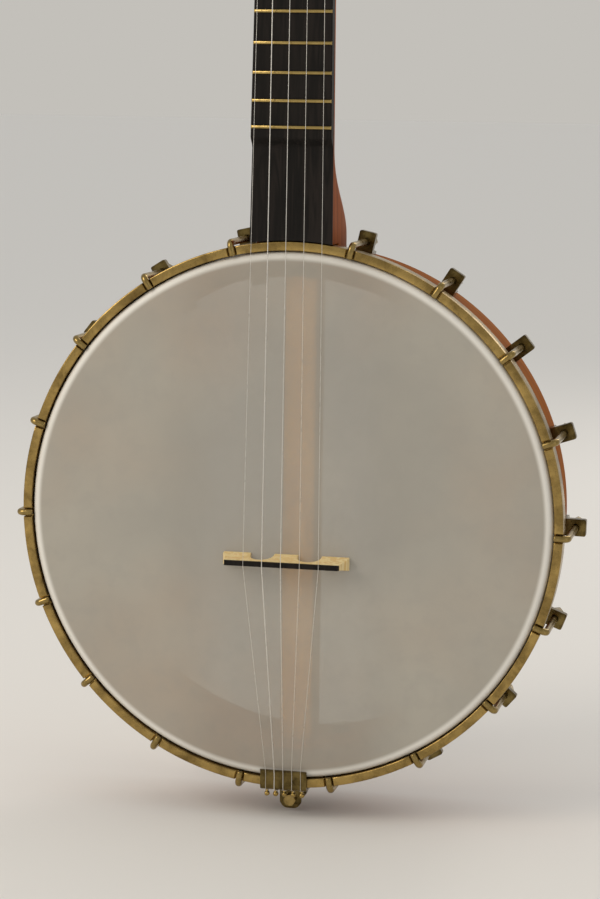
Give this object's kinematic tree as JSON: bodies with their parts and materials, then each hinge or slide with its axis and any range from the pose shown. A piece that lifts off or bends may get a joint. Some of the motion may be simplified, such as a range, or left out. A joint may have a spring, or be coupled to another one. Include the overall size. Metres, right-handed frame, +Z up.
{
  "type": "five-string banjo",
  "caption": "Open-back banjo with a round wooden pot, a taut head, a long fretted neck, a bridge, strings and geared tuners.",
  "frame": {"origin": "on the fingerboard's surface at the nut, in line with the middle of the pot, where a hanger's yoke holds the neck", "axes": "+Z up the neck towards the peghead, -Y out of the side that is played, +X towards the treble side"},
  "size_m": [0.3346, 0.0912, 0.9636],
  "materials": {
    "rim_wood": "oiled cherry, bent and laminated",
    "neck_wood": "oiled cherry",
    "stick_wood": "oiled, stained maple",
    "ebony": "dark and close-grained",
    "maple": "bare maple",
    "bone": "bone",
    "head_film": "frosted, mottled film that lets some light through",
    "brass_ring": "rolled brass",
    "hoop_brass": "aged brass",
    "bracket_brass": "aged brass",
    "small_brass": "aged brass",
    "tuner_metal": "aged brass",
    "button": "ivory-coloured",
    "steel": "plain steel",
    "string_steel": "steel wire"
  },
  "bodies": {
    "root": {"rim": "rim_wood", "tone_ring": "brass_ring", "head": "head_film", "flesh_hoop": "brass_ring", "tension_hoop": "hoop_brass", "bracket_01": "bracket_brass", "bracket_02": "bracket_brass", "bracket_03": "bracket_brass", "bracket_04": "bracket_brass", "bracket_05": "bracket_brass", "bracket_06": "bracket_brass", "bracket_07": "bracket_brass", "bracket_08": "bracket_brass", "bracket_09": "bracket_brass", "bracket_10": "bracket_brass", "bracket_11": "bracket_brass", "bracket_12": "bracket_brass", "bracket_13": "bracket_brass", "bracket_14": "bracket_brass", "bracket_15": "bracket_brass", "bracket_16": "bracket_brass", "bracket_17": "bracket_brass", "bracket_18": "bracket_brass", "dowel_stick": "stick_wood", "neck_brace": "small_brass", "brace_screw": "steel", "end_bolt": "small_brass", "tailpiece": "hoop_brass", "tailpiece_bolt": "small_brass", "tailpiece_nut": "small_brass", "bridge_base": "maple", "bridge_cap": "ebony", "neck": "neck_wood", "heel_cap": "ebony", "fingerboard": "ebony", "nut": "bone", "fifth_string_nut": "bone", "peghead_overlay": "ebony", "truss_rod": "steel", "truss_rod_cover": "small_brass", "tuner_1_housing": "tuner_metal", "tuner_2_housing": "tuner_metal", "tuner_3_housing": "tuner_metal", "tuner_4_housing": "tuner_metal", "tuner_5_housing": "tuner_metal", "string_1": "string_steel", "string_2": "string_steel", "string_3": "string_steel", "string_4": "string_steel", "string_5": "string_steel"},
    "button_1": {"tuner_1_button": "button"},
    "post_1": {"tuner_1_post": "tuner_metal"},
    "button_2": {"tuner_2_button": "button"},
    "post_2": {"tuner_2_post": "tuner_metal"},
    "button_3": {"tuner_3_button": "button"},
    "post_3": {"tuner_3_post": "tuner_metal"},
    "button_4": {"tuner_4_button": "button"},
    "post_4": {"tuner_4_post": "tuner_metal"},
    "button_5": {"tuner_5_button": "button"},
    "post_5": {"tuner_5_post": "tuner_metal"}
  },
  "joints": [
    {"name": "button_1_turn", "type": "hinge", "parent": "root", "child": "button_1", "pos_m": [0.02095, 0.0123, 0.05207], "axis": [0, -0.9744, 0.225], "continuous": true},
    {"name": "post_1_turn", "type": "hinge", "parent": "root", "child": "post_1", "pos_m": [0.02095, 0.0123, 0.05207], "axis": [0, -0.9744, 0.225], "continuous": true},
    {"name": "button_2_turn", "type": "hinge", "parent": "root", "child": "button_2", "pos_m": [0.02095, 0.02399, 0.10274], "axis": [0, -0.9744, 0.225], "continuous": true},
    {"name": "post_2_turn", "type": "hinge", "parent": "root", "child": "post_2", "pos_m": [0.02095, 0.02399, 0.10274], "axis": [0, -0.9744, 0.225], "continuous": true},
    {"name": "button_3_turn", "type": "hinge", "parent": "root", "child": "button_3", "pos_m": [-0.01805, 0.02399, 0.10274], "axis": [0, -0.9744, 0.225], "continuous": true},
    {"name": "post_3_turn", "type": "hinge", "parent": "root", "child": "post_3", "pos_m": [-0.01805, 0.02399, 0.10274], "axis": [0, -0.9744, 0.225], "continuous": true},
    {"name": "button_4_turn", "type": "hinge", "parent": "root", "child": "button_4", "pos_m": [-0.01805, 0.0123, 0.05207], "axis": [0, -0.9744, 0.225], "continuous": true},
    {"name": "post_4_turn", "type": "hinge", "parent": "root", "child": "post_4", "pos_m": [-0.01805, 0.0123, 0.05207], "axis": [0, -0.9744, 0.225], "continuous": true},
    {"name": "button_5_turn", "type": "hinge", "parent": "root", "child": "button_5", "pos_m": [-0.021, 0.0049, -0.15616], "axis": [-1, 0, 0], "continuous": true},
    {"name": "post_5_turn", "type": "hinge", "parent": "root", "child": "post_5", "pos_m": [-0.021, 0.0049, -0.15616], "axis": [-1, 0, 0], "continuous": true}
  ],
  "couplings": [
    {"joint": "post_1_turn", "follows": "button_1_turn", "ratio": 0.25},
    {"joint": "post_2_turn", "follows": "button_2_turn", "ratio": 0.25},
    {"joint": "post_3_turn", "follows": "button_3_turn", "ratio": 0.25},
    {"joint": "post_4_turn", "follows": "button_4_turn", "ratio": 0.25},
    {"joint": "post_5_turn", "follows": "button_5_turn", "ratio": -0.25}
  ]
}
